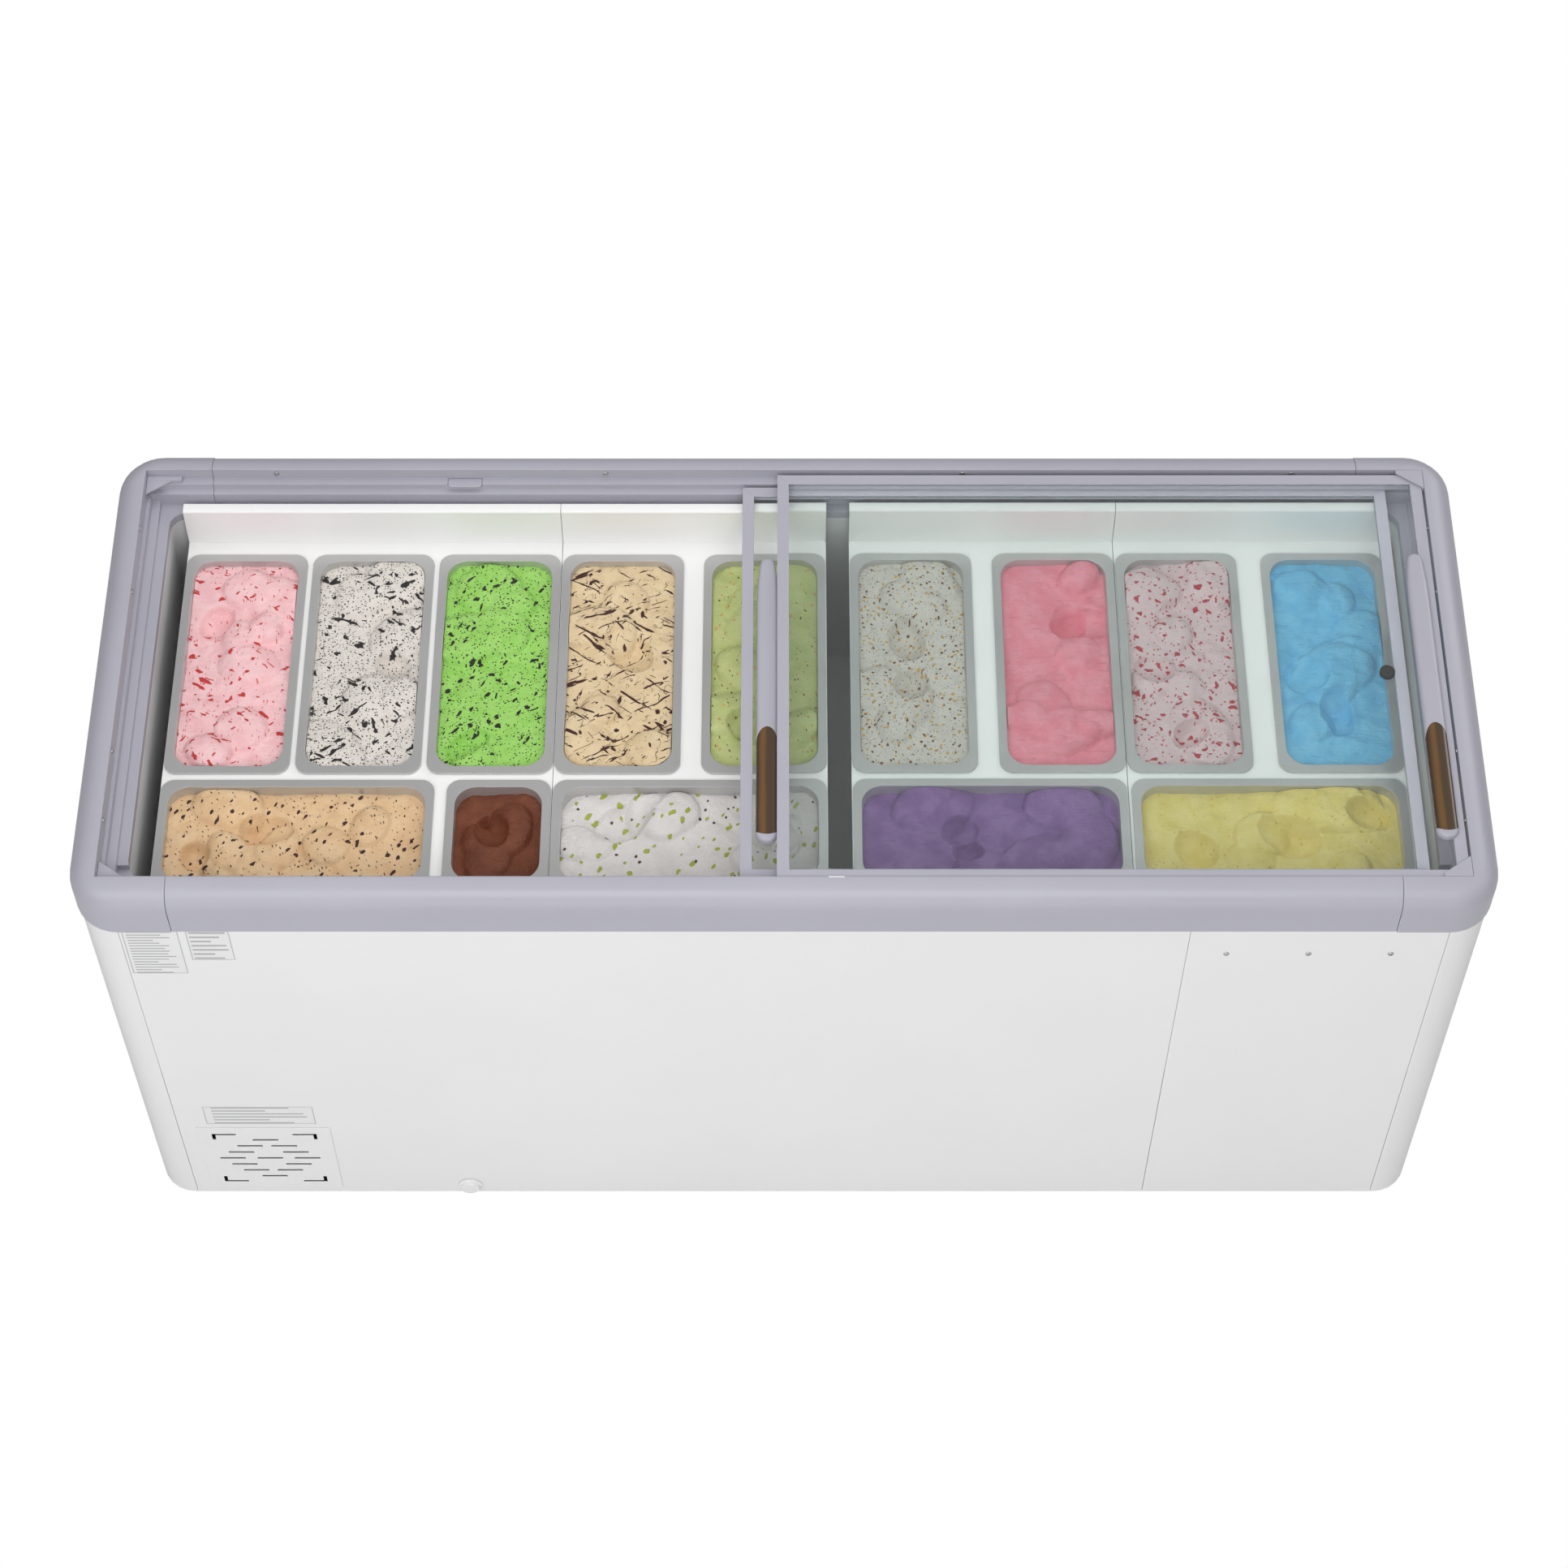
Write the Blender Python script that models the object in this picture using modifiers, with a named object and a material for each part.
"""Ice-cream display chest freezer: an insulated tank in a sheet-metal cabinet on four casters,
closed by two flat glass lids that slide over each other, with hanging trays and fourteen pans.

Metres, +Z up, +X to the right and -Y to the front. The origin is at the centre of the footprint,
on the floor. Heights inside the rim are measured down from the rim's flat top.
"""

import math

import bmesh
import bpy
from mathutils import Matrix, Vector

# ---- overall sizes: the length and depth follow from the pans, and are worked out below ----
RIM_TOP = 0.868
GAP = 0.0003  # between pieces that touch

# ---- rim ----
RIM_END_WIDTH = 0.0375  # flat top to the lid channel, at the ends
RIM_RAIL_WIDTH = 0.0363  # the same, front and back
RIM_CORNER = 0.060  # outer corner in plan
RIM_ROUNDING = 0.030  # outer top edge
RIM_END_ARM = 0.1265  # how far an end piece reaches along the rails
RAIL_INSET = 0.0012  # the rails stand this far inside the end pieces
UPPER_LEDGE = 0.0187  # depth of the ledge that carries the upper lid
HANG_DROP = 0.0225  # the lower lid's ledge to the one that the trays' backs hang from
FRONT_HANG_DROP = 0.0100  # how much lower the trays' fronts hang
UPPER_LEDGE_WIDTH = 0.0100
LOWER_LEDGE_WIDTH = 0.0088
HANG_LEDGE_WIDTH = 0.0149
END_STEP_1 = (0.0045, 0.0080)  # width of an end's first step, and its height above the second
END_STEP_2_WIDTH = 0.0110
END_LIP_WIDTH = 0.0135
RIM_LIP = 0.0140  # thickness under the back hanging ledge, which sits on the cabinet
RIM_SKIRT = 0.0110  # how far the rim's outside reaches below that

# ---- cabinet ----
RIM_OVERHANG = 0.0045
CABINET_CORNER = 0.050
CABINET_BOTTOM = 0.058
SHEET = 0.0012
SEAM = 0.0006
END_PANEL_WRAP = 0.053  # an end panel's reach round each corner
SERVICE_PANEL_LENGTH = 0.328
BASE_PLATE = (0.0600, 0.0012)  # height of its underside, thickness
MACHINE_ROOM = 0.3558  # height between the base plate and the foam under the tank

# ---- tank ----
TANK_CORNER = 0.022
TANK_SHEET = 0.0010
TANK_FLANGE = 0.015
TANK_FLOOR_RADIUS = 0.010
FOAM_FLOOR = 0.060

# ---- lids ----
LID_PAST_MIDDLE = 0.0090  # how far the upper lid reaches past the middle
LID_STRIP = 0.0155
LID_FRONT_STRIP = 0.0110
LID_PLAY = 0.0030  # between a lid's open end and the channel's end wall
LID_FRONT_PLAY = 0.0010
LID_BACK_PLAY = (0.0060, 0.0050)  # upper and lower lid, to the channel's back wall
UPPER_LID_TOP = 0.0040
UPPER_CROSS_STRIP = 0.0080  # height of the strips that pass over the lower lid's handle
LOWER_LID_CLEAR = 0.0008  # the lower lid's top is this far under the upper ledge
LOWER_LID_HEIGHT = 0.0097
LOWER_LID_SHIFT = 0.0470  # how far the lower lid rests to the left of the upper lid
PANE = 0.0040
PANE_BITE = 0.0080  # how far a pane reaches into its frame
PANE_COVER = (0.0025, 0.0023)  # frame above the pane: upper and lower lid

# ---- lid handles ----
HANDLE_WIDTH = 0.0285
HANDLE_LENGTH = 0.449
HANDLE_HEIGHT = 0.0090
HANDLE_ROUNDING = 0.0060
HANDLE_MIDDLE_Y = (-0.0421, -0.0383)  # upper and lower lid
HANDLE_CORE = 0.0025  # the bar left under the grip
LOWER_HANDLE_PLAY = 0.0045  # lower lid's left strip to its bar
UPPER_HANDLE_LAP = 0.0075  # how far the upper lid's bar lies over its right strip
GRIP_LENGTH = 0.162
GRIP_NOSE = 0.032  # length of the grip's rounded rear end
GRIP_FRONT = 0.0070  # length of its rounded front end
GRIP_SETBACK = 0.0105  # front end of the bar to the grip
GRIP_SPREAD = 0.001  # the grip's outline stands this far outside the bar's, so it takes its whole width
BUMPER_RADIUS = 0.010
BUMPER_HEIGHT = 0.0080

# ---- lid keepers ----
KEEPER_LEG = (0.036, 0.0305)
KEEPER_PLATE = 0.0030
KEEPER_ABOVE_LEDGE = 0.0052  # the left ones, over the lower lid; the right ones are flush
KEEPER_FIN = {"left": (0.047, 0.0078), "right": (0.0022, 0.0305)}  # along x, along y
KEEPER_BLUNT = 0.0050  # the plate's narrow end
KEEPER_STEP = 0.0008  # the left fins stand this far above their plates
CATCH_FROM_WALL = 0.431  # left channel wall to the catch's middle
CATCH_SIZE = (0.046, 0.014, 0.003)
CATCH_CORNER = 0.005

# ---- trays ----
TRAY_DROP = 0.0460  # back hanging ledge to the tray's plate
TRAY_SHEET = 0.0010
TRAY_SPARE = (0.0146, 0.0, 0.0009, 0.0055)  # each tray's length beyond its fuller row of pans
TRAY_GAP = 0.0313  # between the two middle trays
TRAY_END_PLAY = 0.0205  # outermost tray edge to the tank wall
TRAY_BACK_FOLD = 0.0161  # tank wall to the fold at the back of the plate
TRAY_BACK_LEAN = 0.0026
TRAY_UNDER_LID = 0.0025  # lower lid's ledge to the top of the back upstand
TRAY_TOP_WIDTH = 0.0160
TRAY_FRONT_FOLD = 0.0038
TRAY_FOOT = 0.0070
TRAY_BEND = 0.0040

# ---- pans ----
PAN_WIDTH = 0.165
PAN_LENGTH = 0.3575
SMALL_PAN = 0.136
PAN_DEPTH = 0.120
PAN_SHEET = 0.0008
PAN_FLANGE = 0.011
PAN_LIP = 0.0040
PAN_CORNER = 0.018
PAN_WELL_CORNER = 0.028
PAN_TAPER = 0.006
PAN_FLOOR_RADIUS = 0.012
PAN_SOFT = 0.0012  # rounding of the flange's outer edge
PAN_EDGE = 0.0010  # pan flange to the tray's cut edge
PAN_HOLE_PLAY = 0.0030
BACK_PAN_FROM_WALL = 0.0392  # tank wall to the back row's flange
FRONT_PAN_FROM_WALL = 0.0076
PAN_ROW_GAP = 0.0107
BACK_ROWS = (3, 2, 2, 2)  # pans in the back row of each tray
FRONT_ROWS = ((PAN_LENGTH, SMALL_PAN), (PAN_LENGTH,), (PAN_LENGTH,), (PAN_LENGTH,))

# ---- vents, drain, gland: each place is (from the cabinet's end, above the floor) ----
GRILLE_SIZE = (0.187, 0.180, 0.0015)
GRILLE_PLACE = (0.170, 0.165)
REAR_VENT_PLACE = (0.237, 0.228)
GRILLE_HOLE = 0.155
GRILLE_SPAN = 0.147
GRILLE_PITCH = 0.0184
GRILLE_SLOT = 0.0050
GRILLE_SLOT_LENGTH = 0.036
GRILLE_BRACKET = 0.034
DRAIN_FROM_END = 0.447
DRAIN_HEIGHT = 0.0815
DRAIN_TUBE = (0.0100, 0.0078)  # outer and inner radius
DRAIN_FROM_TANK_WALL = 0.050
DRAIN_BEND = 0.030
DRAIN_CAP_RADIUS = 0.017
DRAIN_CAP_HEIGHT = 0.0085
DRAIN_STEM = (0.0070, 0.012)  # radius and length
GLAND_PLACE = (0.107, 0.130)
GLAND_RADIUS = 0.012

# ---- machinery: each distance is from the cabinet's right end ----
MACHINE_Y = 0.060
COMPRESSOR_FROM_END = 0.257
COMPRESSOR_RADIUS = 0.085
COMPRESSOR_HEIGHT = 0.205
COMPRESSOR_FOOT = (0.190, 0.150, 0.004)
CONDENSER_FROM_END = 0.597
CONDENSER_SIZE = (0.070, 0.300, 0.240)
CONDENSER_FINS = 12
FAN_FROM_END = 0.512
FAN_Z = 0.190
FAN_SHROUD = (0.030, 0.230, 0.230)
FAN_BORE = 0.083
FAN_HUB = (0.026, 0.022)
FAN_BLADE = (0.055, 0.040, 0.002)
FAN_BLADES = 5
FAN_PITCH = math.radians(28)
MOTOR_LENGTH = 0.030
MOTOR_CLEAR = 0.004  # shroud to motor
STRUT = (0.006, 0.012)  # thickness and width of the motor's strut

# ---- casters ----
CASTER_INSET = (0.110, 0.095)  # swivel axis from the cabinet's end and side
CASTER_TRAIL = 0.016
WHEEL_RADIUS = 0.0225
WHEEL_WIDTH = 0.018
FORK_PLATE = (0.050, 0.0030)
FORK_SHEET = 0.0025
FORK_PLAY = 0.0012
AXLE_RADIUS = 0.0035

# ---- worked out from the sizes above: depths below the rim's top ----
LOWER_LID_TOP = UPPER_LEDGE + LOWER_LID_CLEAR
LOWER_LEDGE = LOWER_LID_TOP + LOWER_LID_HEIGHT + GAP
HANG_LEDGE = LOWER_LEDGE + HANG_DROP
FRONT_HANG_LEDGE = HANG_LEDGE + FRONT_HANG_DROP
RIM_LIP_DEPTH = HANG_LEDGE + RIM_LIP
RIM_HEIGHT = RIM_LIP_DEPTH + RIM_SKIRT
TRAY_TOP_DEPTH = LOWER_LEDGE + TRAY_UNDER_LID
TRAY_DEPTH = HANG_LEDGE + TRAY_DROP
KEEPER_DEPTH = {"left": UPPER_LEDGE - KEEPER_ABOVE_LEDGE, "right": 0.0}

# ---- worked out from the pans outwards ----
TRAY_LENGTHS = [
    max(back * PAN_WIDTH, sum(front)) + 2 * PAN_EDGE + spare
    for back, front, spare in zip(BACK_ROWS, FRONT_ROWS, TRAY_SPARE)
]
TANK_X = (sum(TRAY_LENGTHS) + 2 * SEAM + TRAY_GAP) / 2 + TRAY_END_PLAY
TANK_Y = (FRONT_PAN_FROM_WALL + PAN_WIDTH + PAN_ROW_GAP + PAN_LENGTH + BACK_PAN_FROM_WALL) / 2
STEP_2_X = TANK_X + END_LIP_WIDTH
STEP_1_X = STEP_2_X + END_STEP_2_WIDTH
CHANNEL_X = STEP_1_X + END_STEP_1[0]
HANG_Y = TANK_Y + HANG_LEDGE_WIDTH
LOWER_CHANNEL_Y = HANG_Y + LOWER_LEDGE_WIDTH
CHANNEL_Y = LOWER_CHANNEL_Y + UPPER_LEDGE_WIDTH
END_X = CHANNEL_X + RIM_END_WIDTH
SIDE_Y = CHANNEL_Y + RIM_RAIL_WIDTH
SEAM_X = END_X - RIM_END_ARM
CABINET_X = END_X - RIM_OVERHANG
CABINET_Y = SIDE_Y - RIM_OVERHANG
CABINET_TOP = RIM_TOP - RIM_LIP_DEPTH - GAP
TANK_TOP = CABINET_TOP
BASE_TOP = BASE_PLATE[0] + BASE_PLATE[1]
FOAM_BOTTOM = BASE_TOP + MACHINE_ROOM
TANK_FLOOR = FOAM_BOTTOM + FOAM_FLOOR + TANK_SHEET
DRAIN_X = -(CABINET_X - DRAIN_FROM_END)
DRAIN_TANK_Y = -(TANK_Y - DRAIN_FROM_TANK_WALL)
TRAY_TOP = RIM_TOP - TRAY_DEPTH
LID_LENGTH = CHANNEL_X - LID_PLAY + LID_PAST_MIDDLE
UPPER_LID_X = CHANNEL_X - LID_PLAY - LID_LENGTH / 2
LOWER_LID_X = UPPER_LID_X - LOWER_LID_SHIFT

MATERIALS = {
    "cabinet_white": ((0.78, 0.78, 0.78), 0.35, 0.0),
    "rim_lavender": ((0.43, 0.43, 0.50), 0.40, 0.0),
    "tray_white": ((0.82, 0.82, 0.82), 0.30, 0.0),
    "pan_steel": ((0.55, 0.55, 0.55), 0.30, 1.0),
    "tank_grey": ((0.45, 0.46, 0.47), 0.45, 0.3),
    "lid_glass": ((0.72, 0.84, 0.80), 0.05, 0.0),
    "grip_brown": ((0.16, 0.08, 0.03), 0.25, 0.0),
    "black_rubber": ((0.02, 0.02, 0.02), 0.70, 0.0),
    "foam": ((0.80, 0.72, 0.45), 0.90, 0.0),
    "galvanised": ((0.50, 0.51, 0.52), 0.45, 0.9),
    "machine_black": ((0.03, 0.03, 0.03), 0.45, 0.0),
    "fin_aluminium": ((0.65, 0.66, 0.67), 0.40, 1.0),
    "caster_tyre": ((0.08, 0.08, 0.08), 0.60, 0.0),
    "hose_grey": ((0.35, 0.36, 0.38), 0.50, 0.0),
}


# ---- scene, materials and objects ----
def clear_scene():
    for obj in list(bpy.data.objects):
        bpy.data.objects.remove(obj, do_unlink=True)


def new_collection(name, hidden=False):
    made = bpy.data.collections.new(name)
    bpy.context.scene.collection.children.link(made)
    made.hide_render = hidden
    return made


def material(name):
    if name in bpy.data.materials:
        return bpy.data.materials[name]
    colour, roughness, metallic = MATERIALS[name]
    made = bpy.data.materials.new(name)
    made.use_nodes = True
    shader = made.node_tree.nodes["Principled BSDF"]
    shader.inputs["Base Color"].default_value = (*colour, 1.0)
    shader.inputs["Roughness"].default_value = roughness
    shader.inputs["Metallic"].default_value = metallic
    return made


clear_scene()
PARTS = new_collection("ice_cream_display_freezer")
CUTTERS = new_collection("cutters", hidden=True)


def new_object(name, bm, location, finish=None, smooth=False):
    """An object from a bmesh. With no finish it is a cutter."""
    mesh = bpy.data.meshes.new(name)
    bm.to_mesh(mesh)
    bm.free()
    if smooth:
        mesh.shade_smooth()
        mesh.set_sharp_from_angle(angle=math.radians(35))
    obj = bpy.data.objects.new(name, mesh)
    obj.location = location
    if finish:
        mesh.materials.append(material(finish))
        PARTS.objects.link(obj)
    else:
        obj.hide_render = True
        obj.display_type = "WIRE"
        CUTTERS.objects.link(obj)
    return obj


def boolean(obj, other, operation="DIFFERENCE"):
    step = obj.modifiers.new(operation.lower(), "BOOLEAN")
    step.operation = operation
    step.solver = "EXACT"
    step.object = other


def thicken(obj, thickness, offset=-1.0):
    step = obj.modifiers.new("thickness", "SOLIDIFY")
    step.thickness = thickness
    step.offset = offset
    step.use_even_offset = True


# ---- shapes ----
def cube(size):
    bm = bmesh.new()
    bmesh.ops.create_cube(bm, size=1.0)
    bmesh.ops.scale(bm, vec=size, verts=bm.verts)
    return bm


def is_upright(edge):
    a, b = (vertex.co for vertex in edge.verts)
    return abs(a.x - b.x) < 1e-6 and abs(a.y - b.y) < 1e-6


def bevel(bm, edges, radius, segments):
    bmesh.ops.bevel(bm, geom=edges, offset=radius, segments=segments, profile=0.5, affect="EDGES")


def rounded_cube(size, radius, segments=4):
    """A cube with its four upright edges rounded."""
    bm = cube(size)
    bevel(bm, [edge for edge in bm.edges if is_upright(edge)], radius, segments)
    return bm


def place(low, high):
    """Centre and size of the box between two corners."""
    low, high = Vector(low), Vector(high)
    return (low + high) / 2, high - low


def box(name, low, high, finish=None):
    centre, size = place(low, high)
    return new_object(name, cube(size), centre, finish)


def rounded_box(name, low, high, radius, finish=None, segments=4):
    centre, size = place(low, high)
    return new_object(name, rounded_cube(size, radius, segments), centre, finish)


def cylinder(name, centre, radius, length, axis, finish=None, sides=24):
    bm = bmesh.new()
    bmesh.ops.create_cone(
        bm, cap_ends=True, segments=sides, radius1=radius, radius2=radius, depth=length
    )
    turn = Vector((0, 0, 1)).rotation_difference(Vector(axis)).to_matrix()
    half_step = Matrix.Rotation(math.pi / sides, 3, Vector(axis))
    bmesh.ops.rotate(bm, cent=(0, 0, 0), matrix=half_step @ turn, verts=bm.verts)
    return new_object(name, bm, centre, finish, smooth=True)


def turned(name, profile, location, rotation, finish, steps=32):
    """A solid of revolution: (radius, height) points down its outer side, from axis to axis."""
    bm = bmesh.new()
    points = [bm.verts.new((radius, 0, height)) for radius, height in profile]
    for first, second in zip(points, points[1:]):
        bm.edges.new((first, second))
    obj = new_object(name, bm, location, finish)
    obj.rotation_euler = rotation
    step = obj.modifiers.new("turn", "SCREW")
    step.steps = steps
    step.render_steps = steps
    step.use_merge_vertices = True
    step.merge_threshold = 0.00005
    step.use_smooth_shade = False
    return obj


def filleted(points, radius, segments=3):
    """An open path with each inner corner replaced by an arc."""
    path = [Vector(points[0])]
    for before, corner, after in zip(points, points[1:], points[2:]):
        before, corner, after = Vector(before), Vector(corner), Vector(after)
        inward = (before - corner).normalized()
        outward = (after - corner).normalized()
        half = inward.angle(outward) / 2
        reach = radius / math.tan(half)
        centre = corner + (inward + outward).normalized() * radius / math.sin(half)
        start = (corner + inward * reach - centre).normalized()
        end = (corner + outward * reach - centre).normalized()
        for i in range(segments + 1):
            path.append(centre + start.slerp(end, i / segments) * radius)
    path.append(Vector(points[-1]))
    return path


def rounded_outline(width, length, radius, segments):
    """Corner arcs of a rounded rectangle about the origin, counter-clockwise from above."""
    points = []
    for quarter, (side_x, side_y) in enumerate(((1, 1), (-1, 1), (-1, -1), (1, -1))):
        for i in range(segments + 1):
            angle = (quarter + i / segments) * math.pi / 2
            x = side_x * (width / 2 - radius) + radius * math.cos(angle)
            y = side_y * (length / 2 - radius) + radius * math.sin(angle)
            points.append((x, y))
    return points


def basin(name, sections, location, sheet, finish, segments=3):
    """A sheet-metal well through rounded rectangles (width, length, radius, height)."""
    bm = bmesh.new()
    rings = []
    for width, length, radius, height in sections:
        outline = rounded_outline(width, length, radius, segments)
        rings.append([bm.verts.new((x, y, height)) for x, y in outline])
    count = len(rings[0])
    for outer, inner in zip(rings, rings[1:]):
        for i in range(count):
            j = (i + 1) % count
            bm.faces.new((outer[i], outer[j], inner[j], inner[i]))
    bm.faces.new(rings[-1])
    obj = new_object(name, bm, location, finish, smooth=True)
    thicken(obj, sheet)
    return obj


def bent_sheet(name, path, low, high, sheet, finish):
    """An upright sheet that follows a path in plan, with its outside on the path's right."""
    bm = bmesh.new()
    feet = [bm.verts.new((point[0], point[1], 0)) for point in path]
    tops = [bm.verts.new((point[0], point[1], high - low)) for point in path]
    for i in range(len(path) - 1):
        bm.faces.new((feet[i], feet[i + 1], tops[i + 1], tops[i]))
    obj = new_object(name, bm, (0, 0, low), finish, smooth=True)
    thicken(obj, sheet)
    return obj


def as_mesh(curve_object, finish=None, weld=0.00001):
    """Replaces a curve object by its mesh, with the caps welded on."""
    graph = bpy.context.evaluated_depsgraph_get()
    mesh = bpy.data.meshes.new_from_object(curve_object.evaluated_get(graph))
    bm = bmesh.new()
    bm.from_mesh(mesh)
    bmesh.ops.remove_doubles(bm, verts=bm.verts, dist=weld)
    name = curve_object.name
    placed = curve_object.matrix_world.copy()
    bpy.data.objects.remove(curve_object, do_unlink=True)
    bpy.data.meshes.remove(mesh)
    obj = new_object(name, bm, (0, 0, 0), finish)
    obj.matrix_world = placed
    return obj


def flat_outline(name, points, low, high, finish=None):
    """A flat outline in the XY plane, extruded from one height to another."""
    curve = bpy.data.curves.new(name, "CURVE")
    curve.dimensions = "2D"
    curve.fill_mode = "BOTH"
    curve.extrude = (high - low) / 2
    spline = curve.splines.new("POLY")
    spline.points.add(len(points) - 1)
    for target, (x, y) in zip(spline.points, points):
        target.co = (x, y, 0, 1)
    spline.use_cyclic_u = True
    obj = bpy.data.objects.new(name, curve)
    obj.location = (0, 0, (low + high) / 2)
    PARTS.objects.link(obj)
    bpy.context.view_layer.update()
    return as_mesh(obj, finish)


def tube(name, path, radius, finish=None):
    curve = bpy.data.curves.new(name, "CURVE")
    curve.dimensions = "3D"
    curve.bevel_depth = radius
    curve.bevel_resolution = 2
    curve.use_fill_caps = True
    spline = curve.splines.new("POLY")
    spline.points.add(len(path) - 1)
    for target, point in zip(spline.points, path):
        target.co = (*point, 1)
    obj = bpy.data.objects.new(name, curve)
    PARTS.objects.link(obj)
    bpy.context.view_layer.update()
    return as_mesh(obj, finish)


# ---- rim ----
def rim_cutters():
    """The lid channels, the steps down to the tank and the cabinet's seat, shared by the rim."""
    above = RIM_TOP + 0.01
    steps = (
        ("upper_channel", CHANNEL_X, CHANNEL_Y, UPPER_LEDGE),
        ("lower_channel", CHANNEL_X, LOWER_CHANNEL_Y, LOWER_LEDGE),
        ("first_step", STEP_1_X, HANG_Y, HANG_LEDGE - END_STEP_1[1]),
        ("second_step", STEP_2_X, HANG_Y, HANG_LEDGE),
    )
    cutters = []
    for name, x, y, depth in steps:
        cutters.append(box(name, (-x, -y, RIM_TOP - depth), (x, y, above)))
    low = (-STEP_2_X, -HANG_Y, RIM_TOP - FRONT_HANG_LEDGE)
    cutters.append(box("front_hang_step", low, (STEP_2_X, -TANK_Y + HANG_LEDGE_WIDTH, above)))
    low = (-TANK_X, -TANK_Y, RIM_TOP - RIM_HEIGHT - 0.01)
    cutters.append(rounded_box("tank_mouth", low, (TANK_X, TANK_Y, above), TANK_CORNER))
    x, y = CABINET_X + GAP, CABINET_Y + GAP
    high = (x, y, RIM_TOP - RIM_LIP_DEPTH)
    low = (-x, -y, RIM_TOP - RIM_HEIGHT - 0.01)
    cutters.append(rounded_box("cabinet_seat", low, high, CABINET_CORNER + GAP, segments=6))
    return cutters


def round_outer_top(bm, top, is_outer):
    """Rounds the edges of the top face that lie on the rim's outside."""
    chosen = []
    for edge in bm.edges:
        level = all(abs(vertex.co.z - top) < 1e-6 for vertex in edge.verts)
        if level and len(edge.link_faces) == 2 and is_outer(edge):
            chosen.append(edge)
    bevel(bm, chosen, RIM_ROUNDING, 6)


def rim_rail(name, side, cutters):
    depth = SIDE_Y - TANK_Y - RAIL_INSET
    size = (2 * (SEAM_X - GAP), depth, RIM_HEIGHT)
    bm = cube(size)
    round_outer_top(
        bm, size[2] / 2, lambda edge: all(v.co.y * side > depth / 2 - 1e-6 for v in edge.verts)
    )
    centre = (0, side * (TANK_Y + depth / 2), RIM_TOP - RIM_HEIGHT / 2)
    rail = new_object(name, bm, centre, "rim_lavender", smooth=True)
    for cutter in cutters:
        boolean(rail, cutter)
    return rail


def rim_end(name, side, cutters):
    size = (RIM_END_ARM, 2 * SIDE_Y, RIM_HEIGHT)
    bm = cube(size)
    corners = [e for e in bm.edges if is_upright(e) and e.verts[0].co.x * side > 0]
    bevel(bm, corners, RIM_CORNER, 8)
    seam = -side * size[0] / 2
    round_outer_top(
        bm, size[2] / 2, lambda edge: not all(abs(v.co.x - seam) < 1e-6 for v in edge.verts)
    )
    centre = (side * (END_X - RIM_END_ARM / 2), 0, RIM_TOP - RIM_HEIGHT / 2)
    end = new_object(name, bm, centre, "rim_lavender", smooth=True)
    for cutter in cutters:
        boolean(end, cutter)
    return end


def lid_catch(rail):
    """A small plate let into the back rail's upper ledge, over the lower lid's channel."""
    across, deep, thick = CATCH_SIZE
    front = CHANNEL_Y - GAP - deep
    middle = CATCH_FROM_WALL - CHANNEL_X
    left, right = middle - across / 2, middle + across / 2
    top = RIM_TOP - UPPER_LEDGE
    corner = ((right, front + 3 * CATCH_CORNER), (right, front), (left, front))
    corner += ((left, front + 3 * CATCH_CORNER),)
    rounded = [tuple(point) for point in filleted(corner, CATCH_CORNER)]
    outline = rounded[1:-1] + [(left, CHANNEL_Y - GAP), (right, CHANNEL_Y - GAP)]
    flat_outline("lid_catch", outline, top - thick, top, "rim_lavender")
    low = (left - GAP, LOWER_CHANNEL_Y - 0.01, top - thick - GAP)
    boolean(rail, box("catch_recess", low, (right + GAP, CHANNEL_Y, top + 0.01)))


def corner_keeper(name, side_x, side_y, across):
    """A triangular plate over a lid's corner, with a fin that stands on the upper ledge."""
    x, y = side_x * (CHANNEL_X - GAP), side_y * (CHANNEL_Y - GAP)
    fin_long, fin_wide = KEEPER_FIN[across]
    top = RIM_TOP - KEEPER_DEPTH[across]
    inner_x, inner_y = x - side_x * KEEPER_LEG[0], y - side_y * KEEPER_LEG[1]
    fin_x, fin_y = x - side_x * fin_long, y - side_y * fin_wide
    blunt_y = y - side_y * KEEPER_BLUNT
    points = [(x, y), (inner_x, y), (inner_x, blunt_y), (x, inner_y)]
    if side_x * side_y < 0:
        points.reverse()
    plate = flat_outline(name, points, top - KEEPER_PLATE, top, "rim_lavender")
    fin_top = top + KEEPER_STEP if KEEPER_DEPTH[across] else top - KEEPER_PLATE / 2
    low = (min(x, fin_x), min(y, fin_y), RIM_TOP - UPPER_LEDGE + GAP)
    high = (max(x, fin_x), max(y, fin_y), fin_top)
    boolean(plate, box(name + "_fin", low, high), "UNION")


def build_rim():
    cutters = rim_cutters()
    rim_rail("rim_front_rail", -1, cutters)
    back_rail = rim_rail("rim_back_rail", 1, cutters)
    rim_end("rim_left_end", -1, cutters)
    rim_end("rim_right_end", 1, cutters)
    lid_catch(back_rail)
    for across, side_x in (("left", -1), ("right", 1)):
        for along, side_y in (("front", -1), ("back", 1)):
            corner_keeper(f"lid_keeper_{along}_{across}", side_x, side_y, across)


# ---- cabinet ----
def grille_rows():
    """(row, place along the row) of each slot: 1, 2, 2, 3, 2, 2 and 1 slots, as a diamond."""
    step = GRILLE_SLOT_LENGTH + 0.012
    places = {
        3: (0,),
        2: (-0.5, 0.5),
        1: (-0.8, 0.8),
        0: (-1.1, 0, 1.1),
        -1: (-0.8, 0.8),
        -2: (-0.5, 0.5),
        -3: (0,),
    }
    for row, along in places.items():
        for place_along in along:
            yield row * GRILLE_PITCH, place_along * step


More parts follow.
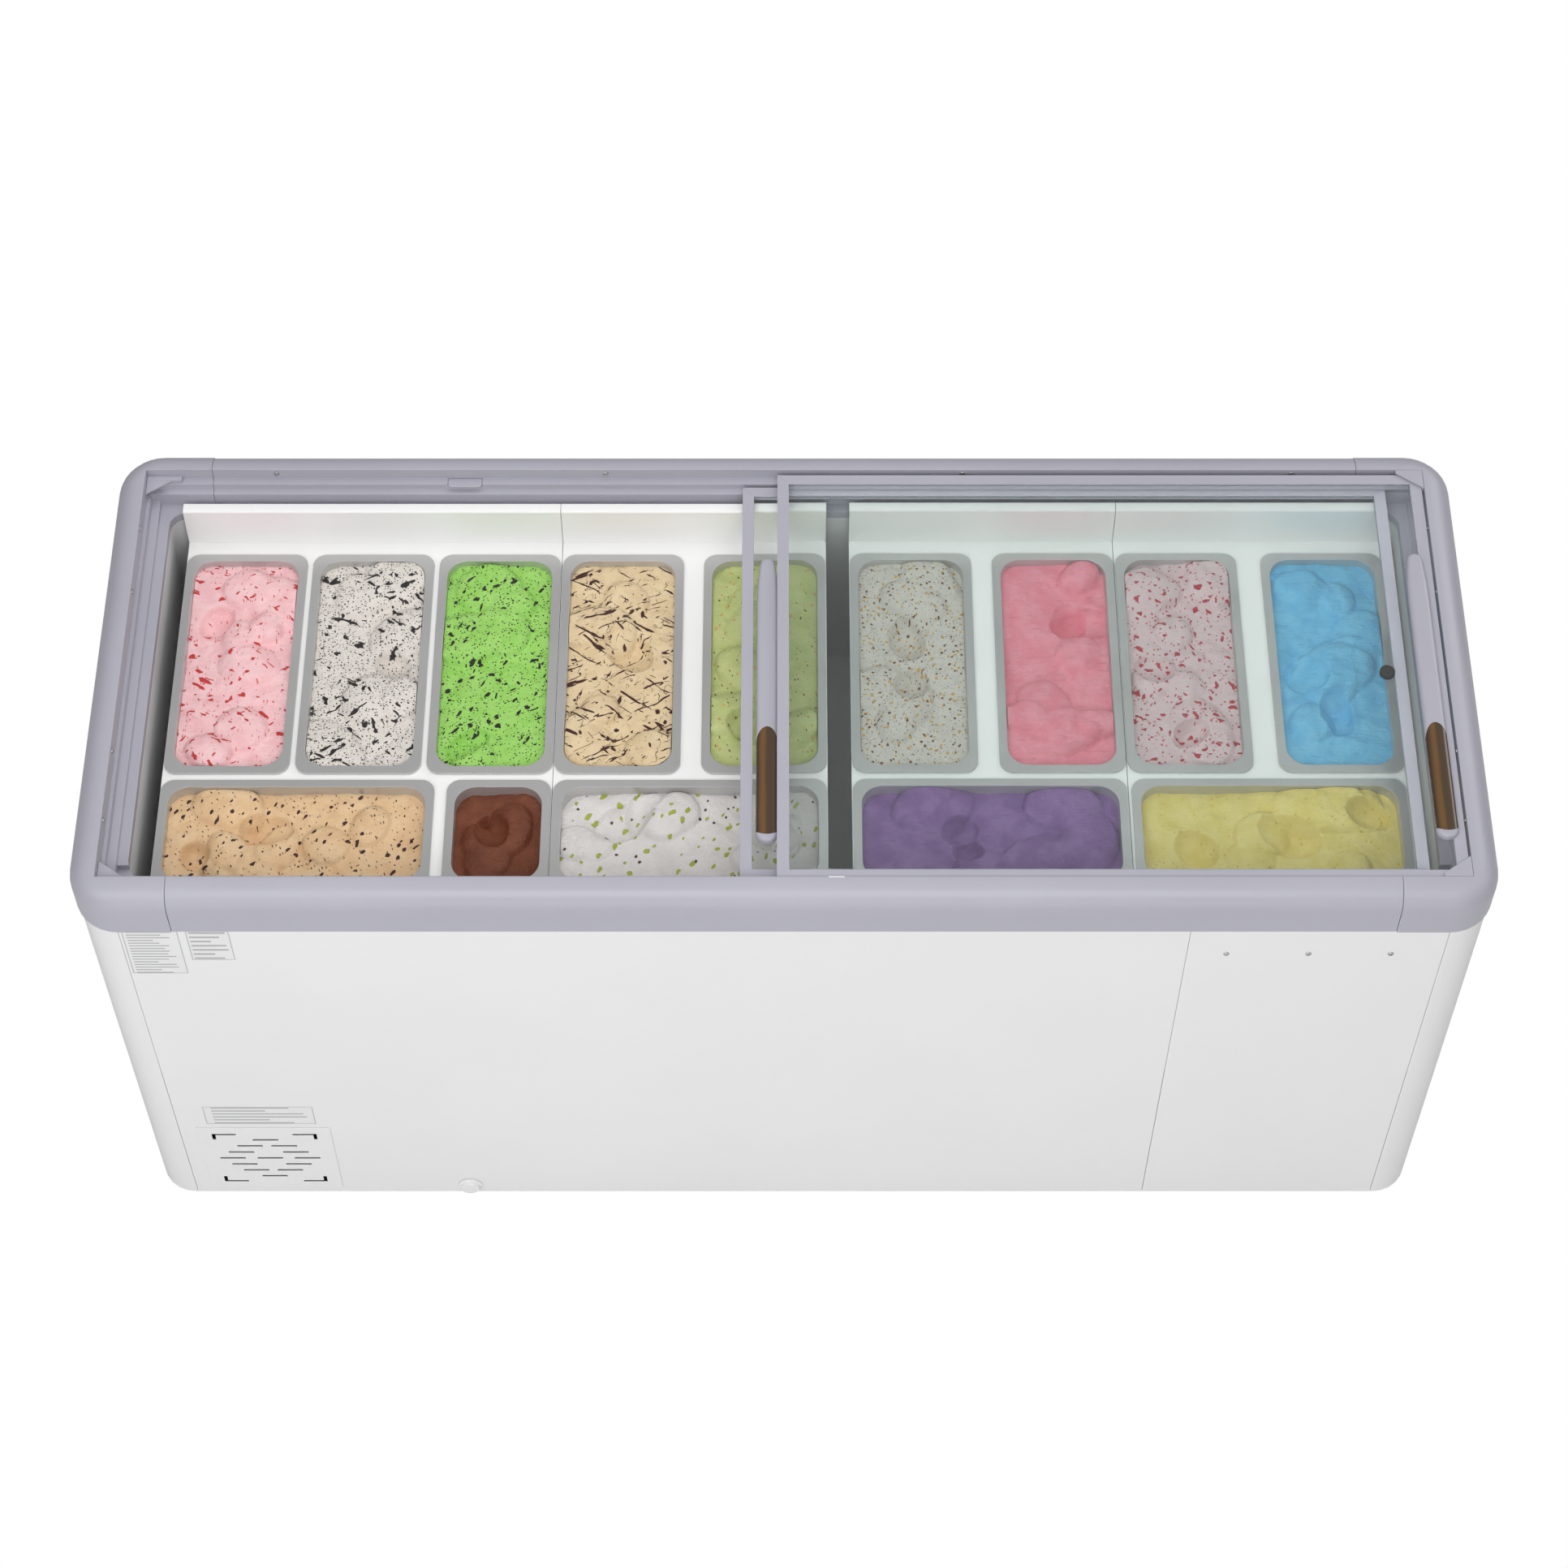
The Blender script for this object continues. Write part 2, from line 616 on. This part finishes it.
def grille_slots(name, centre, depth):
    """A cutter for the whole slot pattern, with an L-shaped bracket at each corner."""
    shapes = []
    for up, along in grille_rows():
        shapes.append((along, up, GRILLE_SLOT_LENGTH, GRILLE_SLOT))
    edge = (GRILLE_SPAN - GRILLE_SLOT) / 2
    arm = (GRILLE_SPAN - GRILLE_BRACKET) / 2
    for side in (-1, 1):
        for up in (-1, 1):
            shapes.append((side * arm, up * edge, GRILLE_BRACKET, GRILLE_SLOT))
            upright = up * (edge - GRILLE_SLOT * 1.5)
            shapes.append((side * edge, upright, GRILLE_SLOT, GRILLE_SLOT * 3))
    slots = bmesh.new()
    for along, up, wide, high in shapes:
        made = bmesh.ops.create_cube(slots, size=1.0)["verts"]
        bmesh.ops.scale(slots, vec=(wide, depth, high), verts=made)
        bmesh.ops.translate(slots, vec=(along, 0, up), verts=made)
    return new_object(name, slots, centre)


def cut_slots(obj, centre):
    boolean(obj, grille_slots(obj.name + "_slots", centre, 0.01))
    obj.modifiers[-1].use_self = True


def vent_grille(panel):
    """A slotted plate over a square hole in the front panel."""
    across, tall, thick = GRILLE_SIZE
    from_end, z = GRILLE_PLACE
    centre = Vector((from_end - CABINET_X, -(CABINET_Y + GAP + thick / 2), z))
    plate = new_object("vent_grille", cube((across, thick, tall)), centre, "cabinet_white")
    cut_slots(plate, centre)
    vent_hole(panel, centre)


def vent_hole(panel, centre):
    half = GRILLE_HOLE / 2
    reach = Vector((half, 0.03, half))
    boolean(panel, box(panel.name + "_vent", centre - reach, centre + reach))


def end_panel(name, side):
    edge_x = side * (CABINET_X - END_PANEL_WRAP + SEAM / 2)
    x = side * CABINET_X
    near, far = -side * CABINET_Y, side * CABINET_Y
    corners = ((edge_x, near), (x, near), (x, far), (edge_x, far))
    path = filleted(corners, CABINET_CORNER, 6)
    bent_sheet(name, path, CABINET_BOTTOM, CABINET_TOP, SHEET, "cabinet_white")


def build_cabinet():
    end_panel("left_end_panel", -1)
    end_panel("right_end_panel", 1)
    edge = CABINET_X - END_PANEL_WRAP - SEAM / 2
    split = edge - SERVICE_PANEL_LENGTH
    sheets = (
        ("front_panel", ((-edge, -CABINET_Y), (split - SEAM, -CABINET_Y))),
        ("service_panel", ((split, -CABINET_Y), (edge, -CABINET_Y))),
        ("back_panel", ((edge, CABINET_Y), (-edge, CABINET_Y))),
    )
    made = {}
    for name, path in sheets:
        sheet = bent_sheet(name, path, CABINET_BOTTOM, CABINET_TOP, SHEET, "cabinet_white")
        made[name] = sheet
    vent_grille(made["front_panel"])
    from_end, z = REAR_VENT_PLACE
    cut_slots(made["back_panel"], (CABINET_X - from_end, CABINET_Y, z))
    hole = cylinder(
        "drain_hole", (DRAIN_X, -CABINET_Y, DRAIN_HEIGHT), DRAIN_TUBE[0] + GAP, 0.02, (0, 1, 0)
    )
    boolean(made["front_panel"], hole)
    x, y = CABINET_X - SHEET - GAP, CABINET_Y - SHEET - GAP
    rounded_box(
        "base_plate",
        (-x, -y, BASE_PLATE[0]),
        (x, y, BASE_TOP),
        CABINET_CORNER - SHEET,
        "galvanised",
        segments=6,
    )


def build_tank():
    wide, deep = 2 * TANK_X, 2 * TANK_Y
    floor = TANK_FLOOR - TANK_TOP
    turn = TANK_FLOOR_RADIUS
    sections = (
        (wide + 2 * TANK_FLANGE, deep + 2 * TANK_FLANGE, TANK_CORNER + TANK_FLANGE, 0),
        (wide, deep, TANK_CORNER, 0),
        (wide, deep, TANK_CORNER, floor + turn),
        (wide - 2 * turn, deep - 2 * turn, TANK_CORNER - turn, floor),
    )
    tank = basin("inner_tank", sections, (0, 0, TANK_TOP), TANK_SHEET, "tank_grey", segments=4)
    drain = cylinder(
        "tank_drain_hole", (DRAIN_X, DRAIN_TANK_Y, TANK_FLOOR), DRAIN_TUBE[0] + GAP, 0.02, (0, 0, 1)
    )
    boolean(tank, drain)

    clear = SHEET + 2 * GAP
    x, y = CABINET_X - clear, CABINET_Y - clear
    top = TANK_TOP - TANK_SHEET - GAP
    foam = rounded_box(
        "insulation", (-x, -y, FOAM_BOTTOM), (x, y, top), CABINET_CORNER - SHEET, "foam", segments=6
    )
    clear = TANK_SHEET + GAP
    x, y = TANK_X + clear, TANK_Y + clear
    low = (-x, -y, TANK_FLOOR - clear)
    boolean(foam, rounded_box("foam_cavity", low, (x, y, top + 0.01), TANK_CORNER + clear))
    length = 2 * (TANK_FLOOR - FOAM_BOTTOM)
    centre = (DRAIN_X, DRAIN_TANK_Y, FOAM_BOTTOM)
    boolean(foam, cylinder("foam_drain_hole", centre, DRAIN_TUBE[0] + GAP, length, (0, 0, 1)))


def build_drain():
    """A tube from the tank's floor down to the front panel, closed by a pull-off cap."""
    top = TANK_FLOOR - TANK_SHEET / 2
    mouth = -CABINET_Y
    route = (
        (DRAIN_X, DRAIN_TANK_Y, top),
        (DRAIN_X, DRAIN_TANK_Y, DRAIN_HEIGHT),
        (DRAIN_X, mouth, DRAIN_HEIGHT),
    )
    outer, inner = DRAIN_TUBE
    drain = tube("drain_tube", filleted(route, DRAIN_BEND, 5), outer, "hose_grey")
    beyond = (
        (DRAIN_X, DRAIN_TANK_Y, top + 0.01),
        (DRAIN_X, DRAIN_TANK_Y, DRAIN_HEIGHT),
        (DRAIN_X, mouth - 0.01, DRAIN_HEIGHT),
    )
    boolean(drain, tube("drain_bore", filleted(beyond, DRAIN_BEND, 5), inner))
    radius, tall = DRAIN_CAP_RADIUS, DRAIN_CAP_HEIGHT
    stem_radius, stem_length = DRAIN_STEM
    profile = (
        (0, tall),
        (radius * 0.72, tall),
        (radius * 0.80, tall * 0.88),
        (radius * 0.84, tall * 0.45),
        (radius, tall * 0.35),
        (radius, 0),
        (stem_radius, 0),
        (stem_radius, -stem_length),
        (0, -stem_length),
    )
    location = (DRAIN_X, mouth - GAP, DRAIN_HEIGHT)
    turned("drain_cap", profile, location, (math.pi / 2, 0, 0), "cabinet_white", steps=24)


def build_gland():
    """The strain-relief gland in the back panel that the supply lead would leave by."""
    radius, tall = GLAND_RADIUS, DRAIN_CAP_HEIGHT
    profile = (
        (0, tall * 0.6),
        (radius * 0.35, tall * 0.6),
        (radius * 0.35, tall),
        (radius * 0.65, tall),
        (radius * 0.85, tall * 0.3),
        (radius, tall * 0.3),
        (radius, 0),
        (0, 0),
    )
    from_end, z = GLAND_PLACE
    location = (CABINET_X - from_end, CABINET_Y + GAP, z)
    turned("cord_gland", profile, location, (-math.pi / 2, 0, 0), "machine_black", steps=20)


# ---- lids ----
def lid_frame(name, x, back, front, top, bottom, cross_bottom, cover):
    """Four mitred strips round a pane: the long ones run on the rim's ledges."""
    half_x = LID_LENGTH / 2
    frame = box(name, (x - half_x, front, bottom), (x + half_x, back, top), "rim_lavender")
    inner_x = half_x - LID_STRIP
    inner_front, inner_back = front + LID_FRONT_STRIP, back - LID_STRIP
    above, below = top + 0.01, bottom - 0.01
    low, high = (x - inner_x, inner_front, below), (x + inner_x, inner_back, above)
    boolean(frame, box(name + "_opening", low, high))
    if cross_bottom > bottom + 1e-6:
        reach = half_x + 0.01
        low, high = (x - reach, inner_front, below), (x + reach, inner_back, cross_bottom)
        boolean(frame, box(name + "_underside", low, high))
    pane_top = top - cover
    low = Vector((x - inner_x - PANE_BITE, inner_front - PANE_BITE, pane_top - PANE))
    high = Vector((x + inner_x + PANE_BITE, inner_back + PANE_BITE, pane_top))
    play = Vector((GAP, GAP, GAP))
    boolean(frame, box(name + "_slot", low - play, high + play))
    box(name.replace("frame", "glass"), low, high, "lid_glass")
    return pane_top


def handle_bar(name, x, y, base, finish):
    """A long bar with round ends and a rounded top."""
    size = (HANDLE_WIDTH, HANDLE_LENGTH, HANDLE_HEIGHT)
    bm = rounded_cube(size, HANDLE_WIDTH / 2 - 0.0005, 5)
    top = [e for e in bm.edges if all(v.co.z > HANDLE_HEIGHT / 2 - 1e-6 for v in e.verts)]
    bevel(bm, top, HANDLE_ROUNDING, 3)
    centre = (x, y, base + HANDLE_HEIGHT / 2)
    return new_object(name, bm, centre, finish, smooth=True)


def grip_outline(x, y, play):
    """Plan of the grip: a rounded front end and a long rounded rear end."""
    front = y - HANDLE_LENGTH / 2 + GRIP_SETBACK
    back = front + GRIP_LENGTH
    half = HANDLE_WIDTH / 2 + GRIP_SPREAD + play
    points = []
    for i in range(9):
        angle = math.pi * i / 8
        reach = (GRIP_NOSE + play) * math.sin(angle)
        points.append((x + half * math.cos(angle), back - GRIP_NOSE + reach))
    for i in range(7):
        angle = math.pi * i / 6
        reach = (GRIP_FRONT + play) * math.sin(angle)
        points.append((x - half * math.cos(angle), front + GRIP_FRONT - reach))
    return points


def lid_handle(prefix, x, y, pane_top):
    """A glued bar with a softer grip let over its front end."""
    base = pane_top + GAP
    bar = handle_bar(prefix + "_handle", x, y, base, "rim_lavender")
    grip = handle_bar(prefix + "_grip", x, y, base, "grip_brown")
    seat, above = base + HANDLE_CORE, base + HANDLE_HEIGHT + 0.01
    wide = grip_outline(x, y, GAP)
    boolean(bar, flat_outline(prefix + "_grip_seat", wide, seat, above))
    exact = grip_outline(x, y, 0)
    keep = flat_outline(prefix + "_grip_shape", exact, seat + GAP, above)
    boolean(grip, keep, "INTERSECT")
    return bar, grip


def build_lids():
    back, front = CHANNEL_Y - LID_BACK_PLAY[0], LID_FRONT_PLAY - CHANNEL_Y
    top = RIM_TOP - UPPER_LID_TOP
    bottom = RIM_TOP - UPPER_LEDGE + GAP
    cross = top - UPPER_CROSS_STRIP
    pane = lid_frame(
        "upper_lid_frame", UPPER_LID_X, back, front, top, bottom, cross, PANE_COVER[0]
    )
    strip = UPPER_LID_X + LID_LENGTH / 2 - LID_STRIP
    x = strip + UPPER_HANDLE_LAP - HANDLE_WIDTH / 2
    over_strip = box("handle_rebate", (strip - GAP, front, bottom), (CHANNEL_X, back, top + GAP))
    for piece in lid_handle("upper_lid", x, HANDLE_MIDDLE_Y[0], pane):
        boolean(piece, over_strip)

    back, front = LOWER_CHANNEL_Y - LID_BACK_PLAY[1], LID_FRONT_PLAY - LOWER_CHANNEL_Y
    top = RIM_TOP - LOWER_LID_TOP
    bottom = RIM_TOP - LOWER_LEDGE + GAP
    pane = lid_frame(
        "lower_lid_frame", LOWER_LID_X, back, front, top, bottom, bottom, PANE_COVER[1]
    )
    strip = LOWER_LID_X - LID_LENGTH / 2 + LID_STRIP
    x = strip + LOWER_HANDLE_PLAY + HANDLE_WIDTH / 2
    lid_handle("lower_lid", x, HANDLE_MIDDLE_Y[1], pane)
    x = LOWER_LID_X + LID_LENGTH / 2 - LID_STRIP - BUMPER_RADIUS
    radius, tall = BUMPER_RADIUS, BUMPER_HEIGHT
    profile = ((0, tall), (radius * 0.8, tall), (radius, tall * 0.75), (radius, 0), (0, 0))
    turned("lower_lid_bumper", profile, (x, 0, pane + GAP), (0, 0, 0), "black_rubber", steps=24)


# ---- trays and pans ----
def pan_row(left, right, lengths):
    """Centres of pans spread evenly between two edges, the outer ones against the edges."""
    spare = (right - left) - sum(lengths)
    gap = spare / (len(lengths) - 1) if len(lengths) > 1 else 0
    start = left if len(lengths) > 1 else left + spare / 2
    centres = []
    for length in lengths:
        centres.append(start + length / 2)
        start += length + gap
    return centres


def pan(name, x, y, wide, deep):
    """A steel pan hung by its flange, with a turned-down lip and rounded well."""
    well_wide, well_deep = wide - 2 * PAN_FLANGE, deep - 2 * PAN_FLANGE
    turn, taper, soft = PAN_FLOOR_RADIUS, PAN_TAPER, PAN_SOFT
    sections = (
        (wide, deep, PAN_CORNER, 0),
        (wide, deep, PAN_CORNER, PAN_LIP - soft),
        (wide - 2 * soft, deep - 2 * soft, PAN_CORNER - soft, PAN_LIP),
        (well_wide, well_deep, PAN_WELL_CORNER, PAN_LIP),
        (well_wide - 2 * taper, well_deep - 2 * taper, PAN_WELL_CORNER, turn - PAN_DEPTH),
        (
            well_wide - 2 * (taper + turn),
            well_deep - 2 * (taper + turn),
            PAN_WELL_CORNER - turn,
            -PAN_DEPTH,
        ),
    )
    return basin(name, sections, (x, y, TRAY_TOP + GAP), PAN_SHEET, "pan_steel")


def tray_profile():
    """(y, height) down the tray's upper side, from the back foot to the front foot."""
    back_foot = RIM_TOP - HANG_LEDGE + GAP + TRAY_SHEET
    front_foot = RIM_TOP - FRONT_HANG_LEDGE + GAP + TRAY_SHEET
    fold = TANK_Y - TRAY_BACK_FOLD
    top = RIM_TOP - TRAY_TOP_DEPTH
    top_front = fold + TRAY_BACK_LEAN
    top_back = top_front + TRAY_TOP_WIDTH
    front = TRAY_FRONT_FOLD - TANK_Y
    folds = ((top_back, back_foot), (top_back, top), (top_front, top), (fold, TRAY_TOP))
    return [
        (top_back + TRAY_FOOT, back_foot),
        *(tuple(point) for point in filleted(folds, TRAY_BEND)),
        (front, TRAY_TOP),
        (front, front_foot),
        (-TANK_Y - TRAY_FOOT, front_foot),
    ]


def tray(name, left, right, pans):
    bm = bmesh.new()
    profile = tray_profile()
    low = [bm.verts.new((0, y, z)) for y, z in profile]
    high = [bm.verts.new((right - left, y, z)) for y, z in profile]
    for i in range(len(profile) - 1):
        bm.faces.new((low[i], low[i + 1], high[i + 1], high[i]))
    sheet = new_object(name, bm, (left, 0, 0), "tray_white", smooth=True)
    thicken(sheet, TRAY_SHEET)
    for number, (x, y, wide, deep) in enumerate(pans):
        hole_wide = wide - 2 * PAN_FLANGE + 2 * PAN_HOLE_PLAY
        hole_deep = deep - 2 * PAN_FLANGE + 2 * PAN_HOLE_PLAY
        centre = Vector((x, y, TRAY_TOP))
        reach = Vector((hole_wide / 2, hole_deep / 2, 0.01))
        hole = rounded_box(
            f"{name}_hole_{number}", centre - reach, centre + reach, PAN_WELL_CORNER, segments=3
        )
        boolean(sheet, hole)


def build_trays():
    back_y = TANK_Y - BACK_PAN_FROM_WALL - PAN_LENGTH / 2
    front_y = FRONT_PAN_FROM_WALL + PAN_WIDTH / 2 - TANK_Y
    left = TRAY_END_PLAY - TANK_X
    back_number = front_number = 0
    for i, length in enumerate(TRAY_LENGTHS):
        right = left + length
        inner_left, inner_right = left + PAN_EDGE, right - PAN_EDGE
        pans = []
        for x in pan_row(inner_left, inner_right, [PAN_WIDTH] * BACK_ROWS[i]):
            back_number += 1
            pans.append((x, back_y, PAN_WIDTH, PAN_LENGTH))
            pan(f"pan_back_{back_number}", *pans[-1])
        for x, along in zip(pan_row(inner_left, inner_right, FRONT_ROWS[i]), FRONT_ROWS[i]):
            front_number += 1
            pans.append((x, front_y, along, PAN_WIDTH))
            pan(f"pan_front_{front_number}", *pans[-1])
        tray(f"tray_{i + 1}", left, right, pans)
        left = right + (TRAY_GAP if i == 1 else SEAM)


# ---- machinery ----
def build_compressor():
    """A hermetic compressor: a welded dome on a foot plate."""
    x, y = CABINET_X - COMPRESSOR_FROM_END, MACHINE_Y
    base = BASE_TOP + GAP
    radius, tall = COMPRESSOR_RADIUS, COMPRESSOR_HEIGHT
    profile = [(0, tall)]
    for i in range(1, 5):
        angle = math.radians(22.5 * i)
        profile.append((radius * math.sin(angle), tall * (0.72 + 0.28 * math.cos(angle))))
    profile += [(radius * 1.05, tall * 0.50), (radius * 1.05, tall * 0.46)]
    profile += [(radius, tall * 0.42), (radius * 0.92, 0.001), (0, 0.001)]
    dome = turned("compressor", profile, (x, y, base), (0, 0, 0), "machine_black", steps=24)
    wide, deep, thick = COMPRESSOR_FOOT
    low = (x - wide / 2, y - deep / 2, base)
    high = (x + wide / 2, y + deep / 2, base + thick)
    boolean(dome, box("compressor_foot", low, high), "UNION")


def build_condenser():
    """A finned core, as a comb of plates joined by the tube block behind them."""
    x, y = CABINET_X - CONDENSER_FROM_END, MACHINE_Y
    wide, deep, tall = CONDENSER_SIZE
    pitch = deep / (CONDENSER_FINS - 0.5)
    spine = wide / 3
    points = [(x - wide / 2, y - deep / 2)]
    for i in range(CONDENSER_FINS):
        start = y - deep / 2 + i * pitch
        points.append((x + wide / 2, start))
        points.append((x + wide / 2, start + pitch / 2))
        if i < CONDENSER_FINS - 1:
            points.append((x - wide / 2 + spine, start + pitch / 2))
            points.append((x - wide / 2 + spine, start + pitch))
    points.append((x - wide / 2, y + deep / 2))
    low = BASE_TOP + GAP
    flat_outline("condenser", points, low, low + tall, "fin_aluminium")


def build_fan():
    """A ducted fan behind the condenser: a square shroud with its motor, and the rotor."""
    thick, wide, tall = FAN_SHROUD
    centre = Vector((CABINET_X - FAN_FROM_END, MACHINE_Y, FAN_Z))
    reach = Vector((thick / 2, wide / 2, tall / 2))
    shroud = box("fan_shroud", centre - reach, centre + reach, "machine_black")
    boolean(shroud, cylinder("fan_bore", centre, FAN_BORE, 0.1, (1, 0, 0)))
    hub_radius, hub_length = FAN_HUB
    motor_x = thick / 2 + MOTOR_CLEAR + MOTOR_LENGTH / 2
    spot = centre + Vector((motor_x, 0, 0))
    boolean(shroud, cylinder("fan_motor", spot, hub_radius, MOTOR_LENGTH, (1, 0, 0)), "UNION")
    strut_thick, strut_wide = STRUT
    strut_x = motor_x + MOTOR_LENGTH / 2 - MOTOR_CLEAR
    leg = Vector((strut_thick, strut_wide, tall - 2 * MOTOR_CLEAR)) / 2
    strut = centre + Vector((strut_x, 0, 0))
    boolean(shroud, box("fan_strut", strut - leg, strut + leg), "UNION")
    for side in (-1, 1):
        bridge = strut + Vector((0, 0, side * (tall / 2 - 2 * MOTOR_CLEAR)))
        low = bridge - Vector((strut_x, strut_wide / 2, MOTOR_CLEAR))
        high = bridge + Vector((strut_thick / 2, strut_wide / 2, MOTOR_CLEAR))
        boolean(shroud, box(f"fan_bridge_{side + 1}", low, high), "UNION")

    profile = (
        (0, hub_length / 2),
        (hub_radius * 0.8, hub_length / 2),
        (hub_radius, hub_length / 2 - 0.005),
        (hub_radius, -hub_length / 2),
        (0, -hub_length / 2),
    )
    rotor = turned("fan_rotor", profile, centre, (0, -math.pi / 2, 0), "machine_black", steps=20)
    long, chord, thin = FAN_BLADE
    for number in range(FAN_BLADES):
        bm = cube((chord, thin, long))
        bmesh.ops.rotate(
            bm, cent=(0, 0, 0), matrix=Matrix.Rotation(FAN_PITCH, 3, "Z"), verts=bm.verts
        )
        bmesh.ops.rotate(
            bm, cent=(0, 0, 0), matrix=Matrix.Rotation(math.pi / 2, 3, "Z"), verts=bm.verts
        )
        bmesh.ops.translate(bm, vec=(0, 0, hub_radius - 0.003 + long / 2), verts=bm.verts)
        turn = Matrix.Rotation(2 * math.pi * number / FAN_BLADES, 3, "X")
        bmesh.ops.rotate(bm, cent=(0, 0, 0), matrix=turn, verts=bm.verts)
        boolean(rotor, new_object(f"fan_blade_{number}", bm, centre), "UNION")


# ---- casters ----
def caster(number, x, y):
    """A swivelling fork under the base plate, and its wheel. The fork trails towards +Y."""
    plate_size, plate_thick = FORK_PLATE
    top = BASE_PLATE[0] - GAP
    plate_low = (x - plate_size / 2, y - plate_size / 2, top - plate_thick)
    plate_high = (x + plate_size / 2, y + plate_size / 2, top)
    name = f"caster_fork_{number}"
    fork = new_object(
        name, cube(Vector(plate_high) - Vector(plate_low)), (x, y, top - plate_thick / 2), "galvanised"
    )
    wheel_y = y + CASTER_TRAIL
    inner = WHEEL_WIDTH / 2 + FORK_PLAY
    leg_bottom = WHEEL_RADIUS - AXLE_RADIUS * 1.8
    for side in (-1, 1):
        near, far = x + side * inner, x + side * (inner + FORK_SHEET)
        low = (min(near, far), y - 0.010, leg_bottom)
        high = (max(near, far), wheel_y + 0.009, top - plate_thick / 2)
        boolean(fork, box(f"{name}_leg_{side + 1}", low, high), "UNION")
    reach = inner + FORK_SHEET / 2
    pin = cylinder(
        f"{name}_axle", (x, wheel_y, WHEEL_RADIUS), AXLE_RADIUS, 2 * reach, (1, 0, 0), sides=12
    )
    boolean(fork, pin, "UNION")
    sides = 24
    tread, half = WHEEL_RADIUS / math.cos(math.pi / sides), WHEEL_WIDTH / 2
    bm = bmesh.new()
    bmesh.ops.create_cone(
        bm, cap_ends=True, segments=sides, radius1=tread, radius2=tread, depth=2 * half
    )
    upright = Matrix.Rotation(math.pi / 2, 3, "Y")
    bmesh.ops.rotate(bm, cent=(0, 0, 0), matrix=upright, verts=bm.verts)
    level = Matrix.Rotation(math.pi / sides, 3, "X")
    bmesh.ops.rotate(bm, cent=(0, 0, 0), matrix=level, verts=bm.verts)
    spot = (x, wheel_y, WHEEL_RADIUS)
    wheel = new_object(f"caster_wheel_{number}", bm, spot, "caster_tyre", smooth=True)
    bore = AXLE_RADIUS + GAP
    boolean(wheel, cylinder(f"wheel_bore_{number}", spot, bore, 0.1, (1, 0, 0), sides=12))


def build_casters():
    x = CABINET_X - CASTER_INSET[0]
    y = CABINET_Y - CASTER_INSET[1]
    for number, (side_x, side_y) in enumerate(((-1, -1), (1, -1), (-1, 1), (1, 1)), start=1):
        caster(number, side_x * x, side_y * y)


build_rim()
build_cabinet()
build_tank()
build_drain()
build_gland()
build_lids()
build_trays()
build_compressor()
build_condenser()
build_fan()
build_casters()
